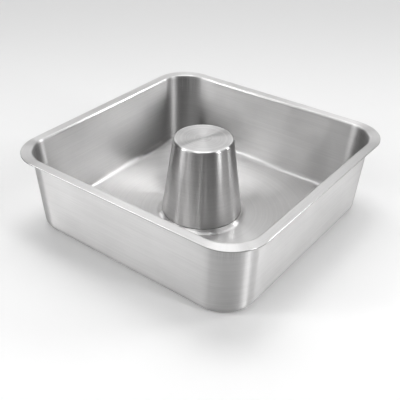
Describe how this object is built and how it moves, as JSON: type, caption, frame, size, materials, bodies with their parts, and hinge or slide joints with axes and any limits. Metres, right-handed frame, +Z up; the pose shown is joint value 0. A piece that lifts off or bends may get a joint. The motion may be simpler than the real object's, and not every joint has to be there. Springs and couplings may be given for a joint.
{
  "type": "square tube pan",
  "caption": "Square cake pan of drawn aluminium with a flat flanged rim, drafted walls and a tapered, closed-top centre tube crimped into its floor.",
  "frame": {"origin": "centre of the underside, on the surface that the pan stands on", "axes": "+Z up through the centre tube; X and Y square to the walls"},
  "size_m": [0.24, 0.24, 0.0753],
  "materials": {
    "shell_aluminium": "brushed along the walls, turned round the middle on the floor",
    "tube_aluminium": "turned, bright on the side and finely ringed on the top"
  },
  "bodies": {
    "root": {"pan_shell": "shell_aluminium", "centre_tube": "tube_aluminium"}
  },
  "joints": []
}
